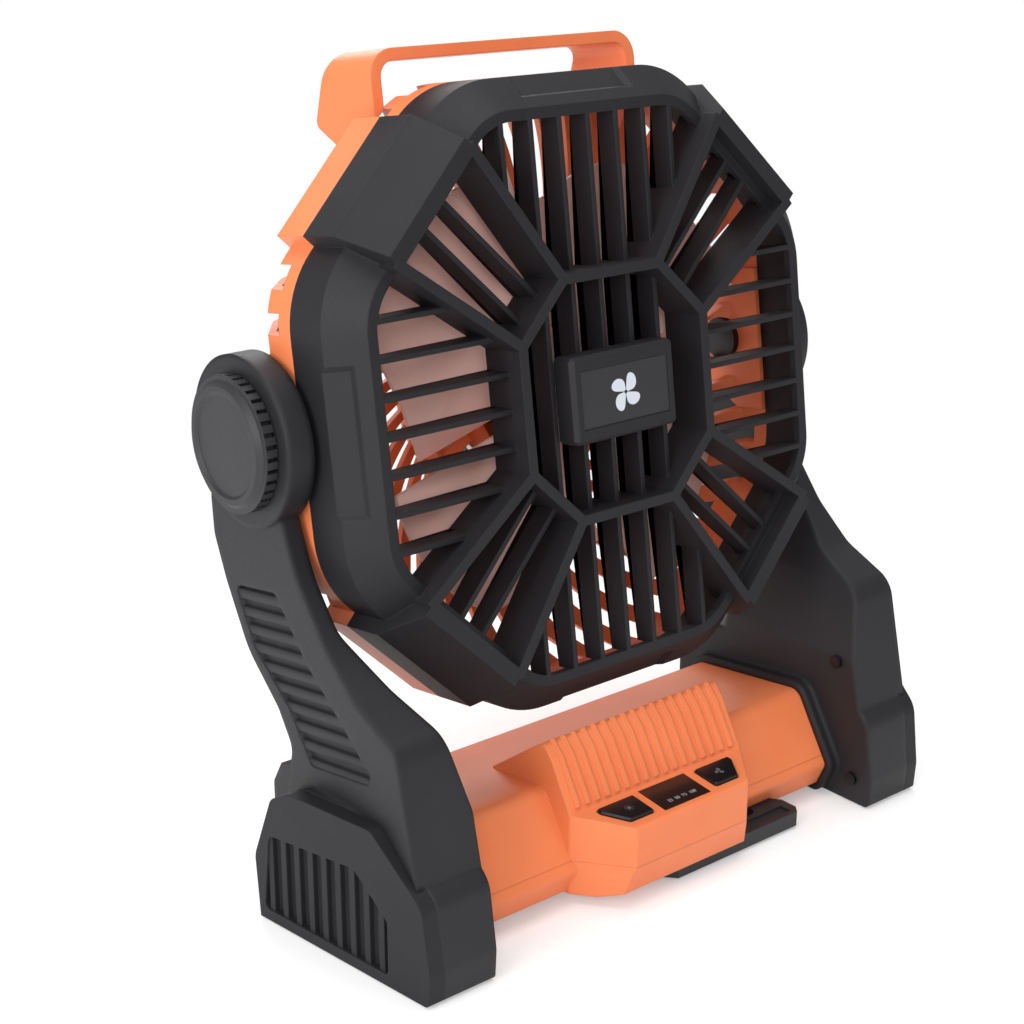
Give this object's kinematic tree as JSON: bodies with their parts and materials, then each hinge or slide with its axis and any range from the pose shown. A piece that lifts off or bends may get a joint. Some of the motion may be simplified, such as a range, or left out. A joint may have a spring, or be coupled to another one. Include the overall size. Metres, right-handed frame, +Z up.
{
  "type": "portable camping fan",
  "caption": "Battery camping fan: square louvred head with a corner-guarded grille, carry handle and rear ring lamp, tilting in a forked stand whose base holds the controls.",
  "frame": {"origin": "on the ground, under the middle of the overall box", "axes": "+Z up, -Y the way the fan blows (front of the stand), +X to the right of someone who looks at its front"},
  "size_m": [0.2714, 0.1442, 0.2995],
  "materials": {
    "black_abs": "textured",
    "black_gloss": "gloss",
    "knob_black": "satin",
    "loop_black": "satin",
    "orange_abs": "satin",
    "clear_lens": "clear",
    "display_smoke": "gloss",
    "blade_pink": "satin",
    "steel": "satin",
    "dark_steel": "blackened",
    "led_white": "satin",
    "led_yellow": "gloss",
    "rubber": "matte",
    "cell_wrap": "gloss",
    "cradle_plastic": "satin",
    "board_green": "satin",
    "cap_plastic": "satin"
  },
  "bodies": {
    "stand": {"arm_left": "black_abs", "arm_right": "black_abs", "pod_cover_left": "black_abs", "pod_cover_right": "black_abs", "foot_pads": "rubber", "arm_screws": "dark_steel", "base_upper_shell": "orange_abs", "base_lower_shell": "orange_abs", "base_screws": "dark_steel", "battery_cells": "cell_wrap", "battery_cradle": "cradle_plastic", "control_board": "board_green", "display_window": "display_smoke", "charge_socket": "black_gloss", "pivot_bolts": "steel", "loop_pin": "steel"},
    "head": {"front_grille": "black_abs", "badge_plate": "black_gloss", "rear_shell": "orange_abs", "lamp_lens": "clear_lens", "led_strip": "led_white", "led_chips": "led_yellow", "motor": "steel", "motor_screws": "dark_steel", "carry_handle": "orange_abs", "pivot_hub_left": "black_abs", "pivot_hub_right": "black_abs"},
    "impeller": {"fan_blades": "blade_pink", "motor_shaft": "steel", "shaft_cap": "cap_plastic"},
    "left_knob": {"knob_left": "knob_black"},
    "right_knob": {"knob_right": "knob_black"},
    "light_key": {"light_button": "black_gloss"},
    "fan_key": {"fan_button": "black_gloss"},
    "loop": {"hanging_loop": "loop_black"}
  },
  "joints": [
    {"name": "head_tilt", "type": "hinge", "parent": "stand", "child": "head", "pos_m": [0, 0.02946, 0.1736], "axis": [1, 0, 0], "range_deg": [-172, 98]},
    {"name": "fan_spin", "type": "hinge", "parent": "head", "child": "impeller", "pos_m": [0, 0.02946, 0.1736], "axis": [0, 0.9903, -0.1392], "continuous": true},
    {"name": "left_knob_turn", "type": "hinge", "parent": "stand", "child": "left_knob", "pos_m": [-0.129, 0.02946, 0.1736], "axis": [1, 0, 0], "range_deg": [-180, 180]},
    {"name": "right_knob_turn", "type": "hinge", "parent": "stand", "child": "right_knob", "pos_m": [0.129, 0.02946, 0.1736], "axis": [1, 0, 0], "range_deg": [-180, 180]},
    {"name": "light_push", "type": "slide", "parent": "stand", "child": "light_key", "axis": [0, 0.1115, -0.9938], "range_m": [0, 0.0012], "stiffness_N_per_m": 400},
    {"name": "fan_push", "type": "slide", "parent": "stand", "child": "fan_key", "axis": [0, 0.1115, -0.9938], "range_m": [0, 0.0012], "stiffness_N_per_m": 400},
    {"name": "loop_fold", "type": "hinge", "parent": "stand", "child": "loop", "pos_m": [0.029, -0.01834, 0.0043], "axis": [1, 0, 0], "range_deg": [0, 115]}
  ]
}
